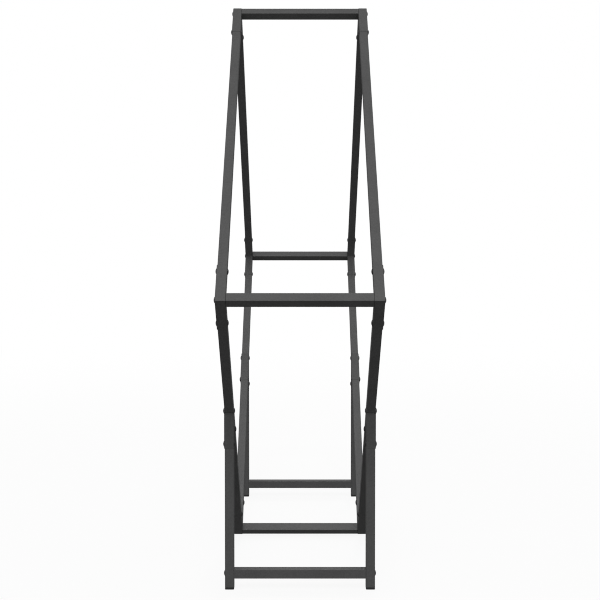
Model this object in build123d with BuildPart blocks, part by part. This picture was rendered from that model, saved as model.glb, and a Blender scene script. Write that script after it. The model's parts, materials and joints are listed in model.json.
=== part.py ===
"""Free-standing firewood log rack of square steel tube.

Two flat side frames stand 250 mm apart. Each is a square on its corner (the diamond that holds the logs)
on two vertical legs. Elbows join the diamond's corners, and a slanted bracket joins each leg to the
diamond's lower side. Tubes enter the elbows and brackets on swaged necks, each held by two dome-head
screws in a cross bush. Crossbars join the side frames at the four corners and low between the legs.

The origin is on the ground under the middle of the rack. X runs across the rack from side frame to side
frame, Y along its length from leg to leg, and Z up. The side at -X is left, and the end at -Y is front.
"""

import os
from math import asin, cos, sin, sqrt

from build123d import *

# Overall sizes, mm
overall_height = 1000.0
half_width = 125.25  # middle of the rack to the connectors' outer faces
diamond_diagonal = 996.0  # outer corner to outer corner
leg_y = 282.0  # middle of the rack to a leg's centre line
leg_crossbar_z = 26.0

# Rails, legs and crossbars
tube_size = 15.0
tube_corner = 0.8
tube_wall = 0.8
edge_break = 0.35  # chamfer on cut tube ends

# Elbows and leg brackets: their inner faces are flush with the tubes', their outer faces stand proud
connector_across = 16.0  # along X
connector_depth = 15.4  # in the plane of the side frame
connector_corner = 1.0
connector_wall = 1.0
arm_length = 61.5  # an elbow's corner, or a leg's crossing point, to a mouth
screw_inset = 6.5  # mouth to screw

# Swaged necks on the tube ends
neck_clearance = 0.1
neck_length = 30.0
shoulder_length = 2.0

# M5 dome-head screws, cross bushes and crossbar end nuts
screw_radius = 2.5
screw_hole_radius = 2.75
thread_radius = 2.55
head_radius = 5.0
head_height = 2.0
head_rim = 0.4
socket_across_flats = 3.0
socket_depth = 1.1
joint_screw_length = 6.5
crossbar_screw_length = 25.0
bush_radius = 4.0
end_nut_length = 12.0
plug_clearance = 0.05

# Foot caps
foot_flange = 3.5
foot_corner = 1.5
foot_edge = 1.0
foot_plug_length = 12.0
foot_plug_wall = 1.5

# Places worked out from the sizes
corner_reach = diamond_diagonal / 2 - connector_depth / sqrt(2)  # middle of the diamond to a corner's centre
centre_z = overall_height - diamond_diagonal / 2
inner_face = half_width - connector_across
connector_x = half_width - connector_across / 2
tube_x = inner_face + tube_size / 2
tube_face = inner_face + tube_size

tube_bore = tube_size - 2 * tube_wall
cavity_across = connector_across - 2 * connector_wall
cavity_depth = connector_depth - 2 * connector_wall
neck_across = cavity_across - 2 * neck_clearance
neck_depth = cavity_depth - 2 * neck_clearance
neck_bore_across = neck_across - 2 * tube_wall
neck_bore_depth = neck_depth - 2 * tube_wall

up = Vector(0, 0, 1)
corners = {
    "top": Vector(0, 0, centre_z + corner_reach),
    "front": Vector(0, -corner_reach, centre_z),
    "rear": Vector(0, corner_reach, centre_z),
    "bottom": Vector(0, 0, centre_z - corner_reach),
}
neighbours = {
    "top": ("front", "rear"),
    "front": ("top", "bottom"),
    "rear": ("top", "bottom"),
    "bottom": ("front", "rear"),
}
side_signs = {"left": -1, "right": 1}
end_signs = {"front": -1, "rear": 1}


def unit(start, finish):
    """The direction from one point to another."""
    return (finish - start).normalized()


def arm_end(corner, neighbour):
    """The mouth of the elbow arm that points from one corner towards another."""
    return corners[corner] + unit(corners[corner], corners[neighbour]) * arm_length


def leg_crossing(end):
    """The point where a leg's centre line meets the centre line of the diamond's lower side."""
    return Vector(0, end_signs[end] * leg_y, centre_z - corner_reach + leg_y)


def section_plane(x, point, direction):
    """The plane of a tube's section, at a point of the side frame at x, facing along the tube."""
    return Plane(origin=(x, point.Y, point.Z), x_dir=(1, 0, 0), z_dir=direction)


def screw_hole_sketch(points):
    """The screw holes at points of a side frame, as circles on the rack's middle plane."""
    with BuildSketch(Plane.YZ) as holes:
        with Locations(*[(point.Y, point.Z) for point in points]):
            Circle(screw_hole_radius)
    return holes.sketch


def write_part(part, label):
    """Names a finished part and writes its STEP file."""
    part.label = label
    export_step(part, f"parts/{label}.step")


# ---- side frame tubes


def make_tube(label, side, start, finish, neck_ends, holes):
    """A square tube from start to finish. A neck beyond each point of neck_ends enters a connector."""
    x = side_signs[side] * tube_x
    neck_x = side_signs[side] * connector_x
    along = unit(start, finish)
    with BuildPart() as tube:
        with BuildSketch(section_plane(x, start, along)):
            RectangleRounded(tube_size, tube_size, tube_corner)
        extrude(amount=(finish - start).length)
        end_faces = tube.faces().sort_by(Axis(start, along))
        chamfer(end_faces[0].edges() + end_faces[-1].edges(), edge_break)

        bore_start = start + along * shoulder_length if start in neck_ends else start
        bore_finish = finish - along * shoulder_length if finish in neck_ends else finish
        with BuildSketch(section_plane(x, bore_start, along)):
            Rectangle(tube_bore, tube_bore)
        extrude(amount=(bore_finish - bore_start).length, mode=Mode.SUBTRACT)

        for end in neck_ends:
            outward = along if end == finish else -along
            neck_plane = section_plane(neck_x, end - outward * shoulder_length, outward)
            with BuildSketch(neck_plane):
                RectangleRounded(neck_across, neck_depth, tube_corner)
            extrude(amount=shoulder_length + neck_length)
            with BuildSketch(neck_plane):
                Rectangle(neck_bore_across, neck_bore_depth)
            extrude(amount=shoulder_length + neck_length, mode=Mode.SUBTRACT)
        extrude(screw_hole_sketch(holes), amount=side_signs[side] * half_width, mode=Mode.SUBTRACT)
    write_part(tube.part, label)


def make_rails(side, end):
    """The diamond's three tubes at one end of a side frame. Returns the points of their joint screws."""
    top_arm, corner_top_arm = arm_end("top", end), arm_end(end, "top")
    corner_low_arm, bottom_arm = arm_end(end, "bottom"), arm_end("bottom", end)
    downhill = unit(corners[end], corners["bottom"])
    uphill = unit(corners[end], corners["top"])
    crossing = leg_crossing(end)
    bracket_top = crossing - downhill * screw_inset
    bracket_low = crossing + downhill * arm_length

    runs = {
        "upper": (corner_top_arm, top_arm, uphill),
        "middle": (corner_low_arm, bracket_top, downhill),
        "lower": (bracket_low, bottom_arm, downhill),
    }
    screw_points = []
    for name, (start, finish, along) in runs.items():
        holes = [start - along * screw_inset, finish + along * screw_inset]
        make_tube(f"{side}_{end}_{name}_rail", side, start, finish, [start, finish], holes)
        screw_points += holes
    return screw_points


def make_leg(side, end):
    """A vertical leg from its foot cap to its bracket. Returns the point of its joint screws."""
    crossing = leg_crossing(end)
    foot = Vector(0, crossing.Y, foot_flange)
    mouth = crossing - up * arm_length
    screw_point = mouth + up * screw_inset
    crossbar_point = Vector(0, crossing.Y, leg_crossbar_z)
    make_tube(f"{side}_{end}_leg", side, foot, mouth, [mouth], [screw_point, crossbar_point])
    return screw_point


# ---- connectors


def make_elbow(side, corner):
    """A mitred elbow at a corner of the diamond, with an arm towards each neighbouring corner."""
    x = side_signs[side] * connector_x
    shift = Vector(x, 0, 0)
    mouths = [arm_end(corner, neighbour) for neighbour in neighbours[corner]]
    arms = [unit(corners[corner], mouth) for mouth in mouths]
    holes = [mouth - arm * screw_inset for mouth, arm in zip(mouths, arms)] + [corners[corner]]
    with BuildPart() as elbow:
        with BuildLine():
            Polyline(mouths[0] + shift, corners[corner] + shift, mouths[1] + shift)
        with BuildSketch(section_plane(x, mouths[0], -arms[0])):
            RectangleRounded(connector_across, connector_depth, connector_corner)
            Rectangle(cavity_across, cavity_depth, mode=Mode.SUBTRACT)
        sweep(transition=Transition.RIGHT)
        extrude(screw_hole_sketch(holes), amount=side_signs[side] * half_width, mode=Mode.SUBTRACT)
    write_part(elbow.part, f"{side}_{corner}_elbow")


def make_leg_bracket(side, end):
    """A sleeve along the diamond's lower side, with a vertical sleeve for the leg welded under it."""
    x = side_signs[side] * connector_x
    crossing = leg_crossing(end)
    downhill = unit(corners[end], corners["bottom"])
    slanted = (section_plane(x, crossing - downhill * screw_inset, downhill), screw_inset + arm_length)
    vertical = (section_plane(x, crossing - up * arm_length, up), arm_length)
    low_screw = crossing + downhill * (arm_length - screw_inset)
    leg_screw = crossing - up * (arm_length - screw_inset)
    with BuildPart() as bracket:
        for plane, length in (vertical, slanted):
            with BuildSketch(plane):
                RectangleRounded(connector_across, connector_depth, connector_corner)
            extrude(amount=length)
            with BuildSketch(plane):
                Rectangle(cavity_across, cavity_depth)
            extrude(amount=length, mode=Mode.SUBTRACT)
        holes = screw_hole_sketch([crossing, low_screw, leg_screw])
        extrude(holes, amount=side_signs[side] * half_width, mode=Mode.SUBTRACT)
    write_part(bracket.part, f"{side}_{end}_leg_bracket")


# ---- crossbars and feet


def make_crossbar(label, point, turn):
    """A crossbar between the side frames' inner faces, its section turned about X by an angle."""
    with BuildPart() as crossbar:
        with BuildSketch(Plane(origin=(-inner_face, point.Y, point.Z), x_dir=(0, 1, 0), z_dir=(1, 0, 0))):
            RectangleRounded(tube_size, tube_size, tube_corner, rotation=turn)
        extrude(amount=2 * inner_face)
        end_faces = crossbar.faces().sort_by(Axis.X)
        chamfer(end_faces[0].edges() + end_faces[-1].edges(), edge_break)
        with BuildSketch(Plane(origin=(-inner_face, point.Y, point.Z), x_dir=(0, 1, 0), z_dir=(1, 0, 0))):
            Rectangle(tube_bore, tube_bore, rotation=turn)
        extrude(amount=2 * inner_face, mode=Mode.SUBTRACT)
    write_part(crossbar.part, label)


def make_foot_cap(side, end):
    """A plastic cap under a leg, with a hollow plug inside the tube."""
    centre = (side_signs[side] * tube_x, end_signs[end] * leg_y)
    plug_size = tube_bore - 2 * plug_clearance
    with BuildPart() as cap:
        with BuildSketch(Plane(origin=(*centre, 0))):
            RectangleRounded(tube_size, tube_size, foot_corner)
        extrude(amount=foot_flange)
        fillet(cap.edges().group_by(Axis.Z)[0], foot_edge)
        with BuildSketch(Plane(origin=(*centre, foot_flange))):
            Rectangle(plug_size, plug_size)
            Rectangle(plug_size - 2 * foot_plug_wall, plug_size - 2 * foot_plug_wall, mode=Mode.SUBTRACT)
        extrude(amount=foot_plug_length)
    write_part(cap.part, f"{side}_{end}_foot_cap")


# ---- fasteners, one part for each group of identical pieces


def make_screws(label, direction, face_points, length):
    """Dome-head socket screws under one label. Heads sit on faces and point along direction (+1 or -1)."""
    dome_rise = head_height - head_rim
    dome_radius = (head_radius**2 + dome_rise**2) / (2 * dome_rise)
    half_turn = asin(head_radius / dome_radius) / 2
    dome_middle = (
        direction * (head_height - dome_radius * (1 - cos(half_turn))),
        dome_radius * sin(half_turn),
    )
    rim = (direction * head_rim, head_radius)
    crown = (direction * head_height, 0)
    tip = -direction * length
    with BuildPart() as screw:
        with BuildSketch(Plane.XY):
            with BuildLine():
                Polyline(crown, (tip, 0), (tip, screw_radius), (0, screw_radius), (0, head_radius), rim)
                ThreePointArc(rim, dome_middle, crown)
            make_face()
        revolve(axis=Axis.X)
        with BuildSketch(Plane.YZ.offset(direction * head_height)):
            RegularPolygon(socket_across_flats / 2, 6, major_radius=False)
        extrude(amount=-direction * socket_depth, mode=Mode.SUBTRACT)
    with BuildPart() as group:
        with Locations(*face_points):
            add(screw.part)
    write_part(group.part, label)


def make_joint_bushes(side, points):
    """Threaded cross bushes, each spanning a neck and taking the two screws of its joint."""
    with BuildPart() as bushes:
        with BuildSketch(Plane.YZ.offset(side_signs[side] * connector_x)):
            with Locations(*[(point.Y, point.Z) for point in points]):
                Circle(bush_radius)
                Circle(thread_radius, mode=Mode.SUBTRACT)
        extrude(amount=neck_bore_across / 2, both=True)
    write_part(bushes.part, f"{side}_joint_bushes")


def make_end_nuts(side, seats):
    """Threaded plugs in one side's crossbar ends. Each seat is a point and the bar's turn about X."""
    plug_size = tube_bore - 2 * plug_clearance
    with BuildPart() as nuts:
        for point, turn in seats:
            with BuildSketch(Plane.YZ.offset(side_signs[side] * inner_face)):
                with Locations((point.Y, point.Z)):
                    Rectangle(plug_size, plug_size, rotation=turn)
                    Circle(thread_radius, mode=Mode.SUBTRACT)
            extrude(amount=-side_signs[side] * end_nut_length)
    write_part(nuts.part, f"{side}_crossbar_end_nuts")


def main():
    os.makedirs("parts", exist_ok=True)
    crossbar_seats = [(corner, 45) for corner in corners.values()]
    for name, corner in corners.items():
        make_crossbar(f"{name}_crossbar", corner, 45)
    for end in end_signs:
        point = Vector(0, leg_crossing(end).Y, leg_crossbar_z)
        make_crossbar(f"{end}_leg_crossbar", point, 0)
        crossbar_seats.append((point, 0))

    for side, sign in side_signs.items():
        joint_points = []
        for corner in corners:
            make_elbow(side, corner)
        for end in end_signs:
            joint_points += make_rails(side, end)
            joint_points.append(make_leg(side, end))
            make_leg_bracket(side, end)
            make_foot_cap(side, end)

        outer_faces = [(sign * half_width, point.Y, point.Z) for point in joint_points]
        inner_faces = [(sign * inner_face, point.Y, point.Z) for point in joint_points]
        crossbar_faces = [
            (sign * (half_width if turn else tube_face), point.Y, point.Z)
            for point, turn in crossbar_seats
        ]
        make_screws(f"{side}_outer_joint_screws", sign, outer_faces, joint_screw_length)
        make_screws(f"{side}_inner_joint_screws", -sign, inner_faces, joint_screw_length)
        make_screws(f"{side}_crossbar_screws", sign, crossbar_faces, crossbar_screw_length)
        make_joint_bushes(side, joint_points)
        make_end_nuts(side, crossbar_seats)


main()
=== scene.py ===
"""Looks of the firewood log rack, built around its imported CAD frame.

The rack is anthracite powder-coated square tube with black screws and black plastic foot caps. Every CAD
piece keeps its shape and gets a procedural material. Weld beads are added at the welded connectors. The
studio is a pale floor that turns up into a white wall, under soft light that comes mostly from above.
"""

import json
import math

import bmesh
import bpy
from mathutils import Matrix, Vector, noise


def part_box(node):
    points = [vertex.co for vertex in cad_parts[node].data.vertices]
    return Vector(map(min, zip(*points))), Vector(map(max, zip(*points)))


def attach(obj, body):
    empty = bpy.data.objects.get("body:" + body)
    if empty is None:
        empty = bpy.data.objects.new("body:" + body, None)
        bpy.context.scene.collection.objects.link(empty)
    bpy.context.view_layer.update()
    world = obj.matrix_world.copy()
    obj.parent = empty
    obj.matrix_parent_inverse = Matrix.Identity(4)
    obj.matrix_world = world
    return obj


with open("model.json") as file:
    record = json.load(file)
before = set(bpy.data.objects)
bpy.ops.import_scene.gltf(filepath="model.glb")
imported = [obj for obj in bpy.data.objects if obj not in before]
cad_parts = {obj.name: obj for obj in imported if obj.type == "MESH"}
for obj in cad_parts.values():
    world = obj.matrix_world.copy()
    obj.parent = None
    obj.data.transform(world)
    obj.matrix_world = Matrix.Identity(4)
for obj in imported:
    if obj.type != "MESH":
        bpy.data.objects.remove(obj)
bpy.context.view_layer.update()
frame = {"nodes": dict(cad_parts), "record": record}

MM = 0.001

# Outer section of the elbows and leg brackets
CONNECTOR_DEPTH = 15.4 * MM  # in the plane of the side frame
CONNECTOR_ACROSS = 16.0 * MM  # along X

# Directions that the tubes' faces look along
ACROSS, LENGTHWISE, UP = (1, 0, 0), (0, 1, 0), (0, 0, 1)
SLANTS = (0, math.sqrt(0.5), math.sqrt(0.5)), (0, math.sqrt(0.5), -math.sqrt(0.5))


# ---- material helpers


def new_material(name):
    """An empty node material. Returns the material, its node tree and its Principled shader."""
    material = bpy.data.materials.new(name)
    material.use_nodes = True
    tree = material.node_tree
    tree.nodes.clear()
    output = tree.nodes.new("ShaderNodeOutputMaterial")
    shader = tree.nodes.new("ShaderNodeBsdfPrincipled")
    tree.links.new(shader.outputs["BSDF"], output.inputs["Surface"])
    return material, tree, shader


def node(tree, kind, **values):
    """A node of a kind, with its settings and input values by name."""
    made = tree.nodes.new(kind)
    for name, value in values.items():
        if hasattr(made, name):
            setattr(made, name, value)
        else:
            made.inputs[name.replace("_", " ")].default_value = value
    return made


def millimetres(tree, offset=0.0):
    """The point being shaded, in millimetres in the rack's own frame.

    An offset moves it, so that materials of the same kind don't share a pattern.
    """
    place = node(tree, "ShaderNodeTexCoord")
    scaled = node(tree, "ShaderNodeMapping", Scale=(1 / MM,) * 3, Location=(offset,) * 3)
    tree.links.new(place.outputs["Object"], scaled.inputs["Vector"])
    return scaled.outputs["Vector"]


def noise_field(tree, place, scale, detail=2.0, roughness=0.5):
    """Noise over space, from 0 to 1, with scale in patches per millimetre."""
    field = node(tree, "ShaderNodeTexNoise", Scale=scale, Detail=detail, Roughness=roughness)
    tree.links.new(place, field.inputs["Vector"])
    return field.outputs["Fac"]


def remap(tree, value, low, high, start=0.0, end=1.0, smooth=False):
    """Maps a value from start..end to low..high, and holds it there beyond."""
    mapped = node(
        tree,
        "ShaderNodeMapRange",
        interpolation_type="SMOOTHSTEP" if smooth else "LINEAR",
        From_Min=start,
        From_Max=end,
        To_Min=low,
        To_Max=high,
    )
    tree.links.new(value, mapped.inputs["Value"])
    return mapped.outputs["Result"]


def remap_noise(tree, field, low, high):
    """Maps the range where most of a noise field lies to low..high."""
    return remap(tree, field, low, high, start=0.3, end=0.7)


def combine(tree, first, second, operation="ADD"):
    """Two values, each a field or a number, combined by a Math node."""
    made = node(tree, "ShaderNodeMath", operation=operation)
    for socket, value in zip(made.inputs, (first, second)):
        if isinstance(value, (int, float)):
            socket.default_value = value
        else:
            tree.links.new(value, socket)
    return made.outputs[0]


def add_up(tree, first, *others):
    """The sum of several value fields."""
    for other in others:
        first = combine(tree, first, other)
    return first


def tinted(tree, colour, brightness):
    """A colour whose brightness varies by a factor field."""
    scaled = node(tree, "ShaderNodeVectorMath", operation="SCALE")
    scaled.inputs[0].default_value = colour
    tree.links.new(brightness, scaled.inputs["Scale"])
    return scaled.outputs["Vector"]


def corner_mask(tree, *face_directions):
    """0 on faces that look along one of the directions, rising to 1 on the rounded corners between them."""
    surface = node(tree, "ShaderNodeNewGeometry")
    nearest = 0.0
    for direction in face_directions:
        facing = node(tree, "ShaderNodeVectorMath", operation="DOT_PRODUCT")
        facing.inputs[1].default_value = direction
        tree.links.new(surface.outputs["Normal"], facing.inputs[0])
        along = combine(tree, facing.outputs["Value"], 0.0, "ABSOLUTE")
        nearest = combine(tree, along, nearest, "MAXIMUM")
    return remap(tree, nearest, 1.0, 0.0, start=0.78, end=0.98)


def bumped(tree, height, strength, depth):
    """A normal from a height field."""
    bump = node(tree, "ShaderNodeBump", Strength=strength, Distance=depth)
    tree.links.new(height, bump.inputs["Height"])
    return bump.outputs["Normal"]


# ---- materials


def powder_coat(name, grey, offset, *face_directions):
    """Anthracite powder coat with a fine texture.

    Clouds, mottle and grain vary its shade, mottle and grain its gloss, and orange peel and grain give it its
    bump. Along corners the colour is darkened as painted shade, and the coat is a little glossier.
    """
    material, tree, shader = new_material(name)
    place = millimetres(tree, offset)
    clouds = noise_field(tree, place, scale=0.018, detail=3.0)
    mottle = noise_field(tree, place, scale=0.3, detail=3.0, roughness=0.6)
    peel = noise_field(tree, place, scale=0.55)
    grain = noise_field(tree, place, scale=2.3, roughness=0.55)
    # corners masks the rounded corners, for the painted shade and the extra gloss there
    corners = corner_mask(tree, *face_directions)

    shade = add_up(
        tree,
        remap_noise(tree, clouds, 0.92, 1.08),
        remap_noise(tree, mottle, -0.12, 0.12),
        remap_noise(tree, grain, -0.16, 0.16),
        # painted shade: the rounded corners are darkened by up to 22%
        remap(tree, corners, 0.0, -0.22),
    )
    rough = add_up(
        tree,
        remap_noise(tree, mottle, 0.37, 0.49),
        remap_noise(tree, grain, 0.06, -0.06),
        remap(tree, corners, 0.0, -0.05),
    )
    height = add_up(tree, peel, remap(tree, grain, 0.0, 0.55))
    tree.links.new(tinted(tree, (grey, grey, grey), shade), shader.inputs["Base Color"])
    tree.links.new(rough, shader.inputs["Roughness"])
    tree.links.new(bumped(tree, height, strength=0.8, depth=0.1 * MM), shader.inputs["Normal"])
    shader.inputs["Specular IOR Level"].default_value = 0.35
    return material


def black_zinc(name):
    """Black zinc on the screws: satin, with a slight mottle and a very fine grain."""
    material, tree, shader = new_material(name)
    place = millimetres(tree)
    mottle = noise_field(tree, place, scale=1.1, detail=3.0)
    grain = noise_field(tree, place, scale=7.0)
    shade = remap_noise(tree, mottle, 0.6, 1.4)
    tree.links.new(tinted(tree, (0.008, 0.008, 0.009), shade), shader.inputs["Base Color"])
    tree.links.new(remap_noise(tree, grain, 0.14, 0.26), shader.inputs["Roughness"])
    tree.links.new(bumped(tree, grain, strength=0.2, depth=0.02 * MM), shader.inputs["Normal"])
    shader.inputs["Specular IOR Level"].default_value = 0.4
    return material


def bright_zinc(name):
    """Bright zinc on the hidden bushes and end nuts."""
    material, tree, shader = new_material(name)
    place = millimetres(tree)
    mottle = noise_field(tree, place, scale=0.8, detail=4.0)
    grain = noise_field(tree, place, scale=5.0)
    shade = remap_noise(tree, mottle, 0.85, 1.1)
    tree.links.new(tinted(tree, (0.56, 0.57, 0.6), shade), shader.inputs["Base Color"])
    tree.links.new(remap_noise(tree, grain, 0.25, 0.45), shader.inputs["Roughness"])
    tree.links.new(bumped(tree, grain, strength=0.2, depth=0.02 * MM), shader.inputs["Normal"])
    shader.inputs["Metallic"].default_value = 1.0
    return material


def moulded_plastic(name):
    """Black moulded polyethylene with a fine spark-eroded grain."""
    material, tree, shader = new_material(name)
    place = millimetres(tree)
    clouds = noise_field(tree, place, scale=0.15)
    grain = noise_field(tree, place, scale=4.5, roughness=0.7)
    shade = add_up(tree, remap_noise(tree, clouds, 0.85, 1.1), remap_noise(tree, grain, -0.15, 0.15))
    tree.links.new(tinted(tree, (0.013, 0.013, 0.0135), shade), shader.inputs["Base Color"])
    tree.links.new(remap_noise(tree, grain, 0.5, 0.62), shader.inputs["Roughness"])
    tree.links.new(bumped(tree, grain, strength=0.3, depth=0.04 * MM), shader.inputs["Normal"])
    return material


def coat_pieces(tube_coat, legs_lit_coat, brackets_shaded_coat):
    """Gives every CAD piece its material, by its slot and, for two of the powder coats, by its name."""
    finishes = {
        "frame_steel": tube_coat,
        "screw_steel": black_zinc("screw_black_zinc"),
        "zinc_steel": bright_zinc("bright_zinc"),
        "foot_plastic": moulded_plastic("foot_cap_plastic"),
    }
    slots = {row["node"]: row["material_slot"] for row in frame["record"]["subparts"]}
    for name, piece in frame["nodes"].items():
        material = finishes[slots[name]]
        # leg brackets take the coat with painted shade
        if name.endswith("_leg_bracket"):
            material = brackets_shaded_coat
        # legs and leg crossbars take the coat with painted light
        elif name.endswith(("_leg", "leg_crossbar")):
            material = legs_lit_coat
        piece.data.materials.clear()
        piece.data.materials.append(material)


# ---- weld beads


def smooth_object(name, mesh, material):
    """A smooth-shaded object in the scene, made from a bmesh, which it frees."""
    data = bpy.data.meshes.new(name)
    mesh.to_mesh(data)
    mesh.free()
    for face in data.polygons:
        face.use_smooth = True
    data.materials.append(material)
    made = bpy.data.objects.new(name, data)
    bpy.context.scene.collection.objects.link(made)
    return made


def add_bead(mesh, start, end, outward, half_width, half_height, seed):
    """One closed, rippled bead from start to end, half sunk into the surface below it."""
    run = end - start
    axis, length = run.normalized(), run.length
    sideways = axis.cross(outward)
    ring_spacing, fewest_rings, ring_points = 0.35 * MM, 12, 14
    ripple, ripple_pitch = 0.09, 1.7 * MM
    wander, widening, drift_pitch = 0.12, 0.10, 4 * MM
    bluntness, end_size = 10, 0.25
    ring_count = max(fewest_rings, round(length / ring_spacing))
    rings = []
    for i in range(ring_count + 1):
        share = i / ring_count
        size = (1 - abs(2 * share - 1) ** bluntness) ** 0.5 if 0 < i < ring_count else end_size
        swell = 1 + ripple * math.sin(2 * math.pi * length * share / ripple_pitch)
        drift = noise.noise(Vector((seed * 7.3, share * length / drift_pitch, 0.0)))
        middle = start + axis * length * share + sideways * half_width * wander * drift
        wide = half_width * size * (1 + widening * drift)
        high = half_height * size * swell
        ring = []
        for j in range(ring_points):
            angle = 2 * math.pi * j / ring_points
            point = middle + sideways * wide * math.cos(angle) + outward * high * math.sin(angle)
            ring.append(mesh.verts.new(point))
        rings.append(ring)
    for ring, following in zip(rings, rings[1:]):
        for j in range(ring_points):
            k = (j + 1) % ring_points
            mesh.faces.new((ring[j], ring[k], following[k], following[j]))
    mesh.faces.new(tuple(reversed(rings[0])))
    mesh.faces.new(tuple(rings[-1]))


def add_welds(name, beads, material):
    """A piece made of one connector's beads, each a start, an end, an outward side and two half sizes."""
    mesh = bmesh.new()
    for seed, (start, end, outward, half_width, half_height) in enumerate(beads, 1):
        add_bead(mesh, start, end, Vector(outward).normalized(), half_width, half_height, seed)
    bmesh.ops.recalc_face_normals(mesh, faces=mesh.faces)
    piece = smooth_object(name, mesh, material)
    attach(piece, "root")


def weld_elbow(side, place, outer, material):
    """A fillet weld in an elbow's inside corner, and its mitre weld, ground nearly flush, on both sides.

    outer is the direction from the middle of the diamond to the elbow's outer corner.
    """
    fillet_width, fillet_height, fillet_share = 1.7 * MM, 1.5 * MM, 0.92
    mitre_width, mitre_height, mitre_shares = 1.1 * MM, 0.16 * MM, (0.12, 0.95)
    low, high = (Vector(corner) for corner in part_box(f"{side}_{place}_elbow"))
    outer = Vector(outer)
    middle = (low + high) / 2
    reach = max(outer.dot(low), outer.dot(high))
    corner = middle - outer * outer.dot(middle) + outer * reach
    diagonal = CONNECTOR_DEPTH * math.sqrt(2)
    inner = corner - outer * diagonal
    half = Vector((CONNECTOR_ACROSS / 2, 0, 0))
    fillet_half = half * fillet_share
    beads = [(inner - fillet_half, inner + fillet_half, -outer, fillet_width, fillet_height)]
    for face in (-1, 1):
        start, end = (corner - outer * diagonal * share + half * face for share in mitre_shares)
        beads.append((start, end, (face, 0, 0), mitre_width, mitre_height))
    add_welds(f"{side}_{place}_elbow_welds", beads, material)


def weld_bracket(side, end, material):
    """Fillet welds before and behind a leg sleeve, where it meets the underside of the sloping arm.

    The arm makes a wide angle with the sleeve's outer side, and a narrow one, with the larger weld, with its
    inner side.
    """
    weld_share, height_share = 0.86, 0.8
    facing = -1 if end == "front" else 1
    leg_low, leg_high = (Vector(corner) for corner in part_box(f"{side}_{end}_leg"))
    rail_low, rail_high = (Vector(corner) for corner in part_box(f"{side}_{end}_middle_rail"))
    leg = (leg_low + leg_high) / 2
    rail = (rail_low + rail_high) / 2
    reach = CONNECTOR_DEPTH / 2
    crossing = rail.z + facing * (leg.y - rail.y)
    half = Vector((CONNECTOR_ACROSS / 2 * weld_share, 0, 0))
    beads = []
    for step, drop, size in ((facing, 0.4, 1.0 * MM), (-facing, 1.0, 1.9 * MM)):
        height = crossing - reach * math.sqrt(2) + step * facing * reach
        edge = Vector((leg.x, leg.y + step * reach, height))
        beads.append((edge - half, edge + half, (0, step, -drop), size, size * height_share))
    add_welds(f"{side}_{end}_bracket_welds", beads, material)


def weld_connectors(elbow_coat, brackets_shaded_coat):
    """The beads of all eight elbows and all four leg brackets."""
    outward = {"top": UP, "bottom": (0, 0, -1), "front": (0, -1, 0), "rear": LENGTHWISE}
    for side in ("left", "right"):
        for place, direction in outward.items():
            weld_elbow(side, place, direction, elbow_coat)
        for end in ("front", "rear"):
            weld_bracket(side, end, brackets_shaded_coat)


# ---- studio


def studio_white(lit_radius, white_radius, least_glow):
    """A matt white that takes light and shadow near the rack and glows plain white further out."""
    material, tree, shader = new_material("studio_white")
    shader.inputs["Roughness"].default_value = 0.9
    shader.inputs["Specular IOR Level"].default_value = 0.1
    shader.inputs["Base Color"].default_value = (0.93, 0.93, 0.93, 1)
    glow = node(tree, "ShaderNodeEmission", Color=(1, 1, 1, 1), Strength=1.0)
    place = node(tree, "ShaderNodeTexCoord")
    distance = node(tree, "ShaderNodeVectorMath", operation="LENGTH")
    tree.links.new(place.outputs["Object"], distance.inputs[0])
    share = remap(tree, distance.outputs["Value"], least_glow, 1.0, lit_radius, white_radius, smooth=True)
    mixed = node(tree, "ShaderNodeMixShader")
    tree.links.new(share, mixed.inputs[0])
    tree.links.new(shader.outputs["BSDF"], mixed.inputs[1])
    tree.links.new(glow.outputs["Emission"], mixed.inputs[2])
    output = next(n for n in tree.nodes if n.type == "OUTPUT_MATERIAL")
    tree.links.new(mixed.outputs["Shader"], output.inputs["Surface"])
    return material


def make_studio():
    """A floor that turns up into a wall all round. It sends no light to the rack and casts no shadow."""
    flat_radii, bend, wall_height = (1.0, 2.0, 3.0, 4.5), 1.5, 6.0
    bend_steps, turns = 12, 96
    outline = [(radius, 0.0) for radius in flat_radii]
    for step in range(1, bend_steps + 1):
        angle = math.pi / 2 * step / bend_steps
        outline.append((flat_radii[-1] + bend * math.sin(angle), bend * (1 - math.cos(angle))))
    outline.append((flat_radii[-1] + bend, wall_height))

    mesh = bmesh.new()
    angles = [2 * math.pi * i / turns for i in range(turns)]
    rings = []
    for radius, height in outline:
        rings.append([mesh.verts.new((radius * math.cos(a), radius * math.sin(a), height)) for a in angles])
    middle = mesh.verts.new((0, 0, 0))
    for i in range(turns):
        following = (i + 1) % turns
        mesh.faces.new((middle, rings[0][i], rings[0][following]))
        for inner, outer in zip(rings, rings[1:]):
            mesh.faces.new((inner[i], outer[i], outer[following], inner[following]))
    white = studio_white(lit_radius=0.9, white_radius=2.6, least_glow=0.89)
    floor = smooth_object("studio_floor", mesh, white)
    floor.visible_diffuse = False
    floor.visible_glossy = False
    floor.visible_shadow = False


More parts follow.
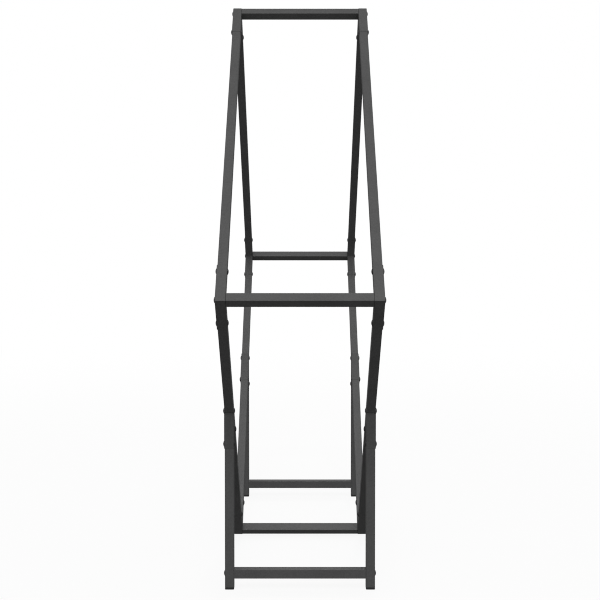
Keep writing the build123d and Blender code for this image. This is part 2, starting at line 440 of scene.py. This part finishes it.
def light_world(sky, front, back, sides):
    """Soft light from above and from all four sides.

    sky is its strength straight up, and the others are its strengths at the horizon on each side. The light
    at the horizon reaches below it too, as a pale floor would send it back.
    """
    world = bpy.data.worlds.new("soft_studio")
    bpy.context.scene.world = world
    world.use_nodes = True
    tree = world.node_tree
    tree.nodes.clear()
    place = node(tree, "ShaderNodeTexCoord")
    split = node(tree, "ShaderNodeSeparateXYZ")
    tree.links.new(place.outputs["Generated"], split.inputs[0])
    x, y, z = (split.outputs[name] for name in "XYZ")
    above = remap(tree, z, 0.0, sky)
    ahead = remap(tree, y, front, 0.0, start=-1.0, end=0.0)
    behind = remap(tree, y, 0.0, back)
    rising = remap(tree, z, 0.0, 2 * sides, start=-0.5, end=0.5)
    beside = combine(tree, combine(tree, x, x, "MULTIPLY"), rising, "MULTIPLY")
    glow = node(tree, "ShaderNodeBackground", Color=(1, 1, 1, 1))
    tree.links.new(add_up(tree, above, beside, ahead, behind), glow.inputs["Strength"])
    output = node(tree, "ShaderNodeOutputWorld")
    tree.links.new(glow.outputs["Background"], output.inputs["Surface"])


def add_lamp(name, kind, strength):
    """A lamp object in the scene, with its light's data to be set by the caller."""
    data = bpy.data.lights.new(name, kind)
    data.energy = strength
    lamp = bpy.data.objects.new(name, data)
    bpy.context.scene.collection.objects.link(lamp)
    return lamp


def add_softbox(name, centre, size, power):
    """A square softbox aimed at the middle of the rack."""
    lamp = add_lamp(name, "AREA", power)
    lamp.data.shape = "SQUARE"
    lamp.data.size = size
    lamp.location = centre
    lamp.visible_camera = False
    aim = Vector((0.0, 0.0, 0.5)) - Vector(centre)
    lamp.rotation_euler = aim.to_track_quat("-Z", "Y").to_euler()


def add_overhead_light(strength, lean, spread):
    """A distant light that leans from overhead to the front and gives the sloping faces their sheen."""
    lamp = add_lamp("overhead_light", "SUN", strength)
    lamp.data.angle = math.radians(spread)
    lamp.rotation_euler = (math.radians(lean), 0.0, 0.0)


def light_studio():
    """All the light on the rack."""
    light_world(sky=0.36, front=0.475, back=0.14, sides=0.33)
    add_softbox("key_light", centre=(-0.7, -5.0, 5.6), size=2.0, power=67.0)
    add_softbox("back_light", centre=(0.9, 5.0, 5.0), size=2.0, power=75.0)
    add_overhead_light(strength=0.52, lean=22.0, spread=12.0)


def make_camera():
    """A camera in line with the rack's length, tilted a little down, with the rest of its aim by shift."""
    distance, height = 2.196, 0.6811
    tilt = math.radians(1.853)
    data = bpy.data.cameras.new("camera")
    data.sensor_width = 36.0
    data.lens = 69.83
    data.shift_y = -0.14
    camera = bpy.data.objects.new("camera", data)
    bpy.context.scene.collection.objects.link(camera)
    camera.location = (0.0, -distance, height)
    camera.rotation_euler = (math.pi / 2 - tilt, 0.0, 0.0)
    bpy.context.scene.camera = camera


def main():
    tube_coat = powder_coat("tube_powder_coat", 0.083, 0.0, ACROSS, *SLANTS)
    # painted light: the legs' coat is a lighter grey than the tubes', standing in for more light on their
    # front faces
    legs_lit_coat = powder_coat("legs_powder_coat_painted_lighter", 0.086, 19.0, ACROSS, LENGTHWISE, UP)
    # painted shade: the brackets' coat, also on their welds, is a darker grey, standing in for the shade
    # under the diamond's rails
    brackets_shaded_coat = powder_coat("brackets_powder_coat_painted_darker", 0.073, 37.0, ACROSS, LENGTHWISE, UP, *SLANTS)
    coat_pieces(tube_coat, legs_lit_coat, brackets_shaded_coat)
    weld_connectors(tube_coat, brackets_shaded_coat)
    make_studio()
    light_studio()
    make_camera()
    bpy.context.scene.cycles.filter_width = 1.1
    bpy.context.scene.view_settings.view_transform = "Standard"


main()
